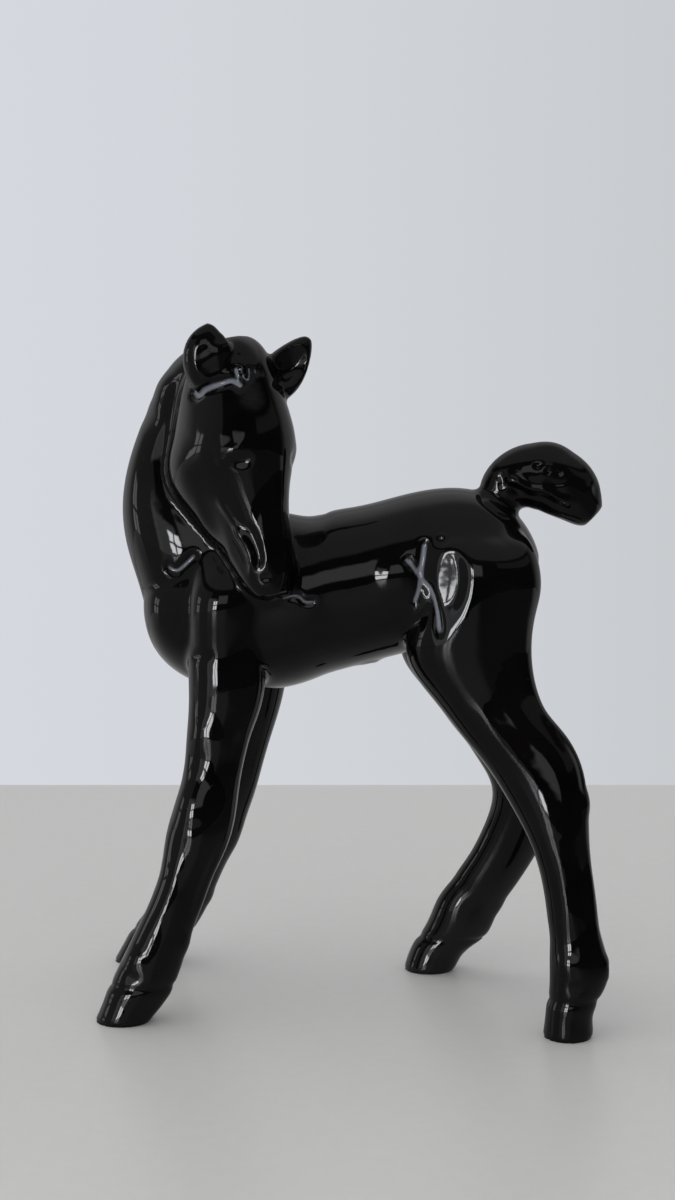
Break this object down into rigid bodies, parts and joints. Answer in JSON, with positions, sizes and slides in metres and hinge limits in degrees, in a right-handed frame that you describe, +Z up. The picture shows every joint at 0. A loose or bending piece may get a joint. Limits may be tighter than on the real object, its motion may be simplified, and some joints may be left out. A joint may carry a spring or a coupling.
{
  "type": "foal figurine",
  "caption": "Standing foal in black glazed ceramic, legs splayed, neck bent back so the head hangs by its near flank, short raised tail.",
  "frame": {"origin": "on the ground under the middle of the figure's bounding box, at the soles", "axes": "+X towards the tail, -Y towards the near side that the head is turned to, +Z up"},
  "size_m": [0.1473, 0.0693, 0.19],
  "materials": {
    "glaze": "black high-gloss glaze"
  },
  "bodies": {
    "root": {"trunk": "glaze", "neck": "glaze", "head": "glaze", "near_ear": "glaze", "far_ear": "glaze", "near_foreleg": "glaze", "far_foreleg": "glaze", "near_hind_leg": "glaze", "far_hind_leg": "glaze", "tail": "glaze"}
  },
  "joints": []
}
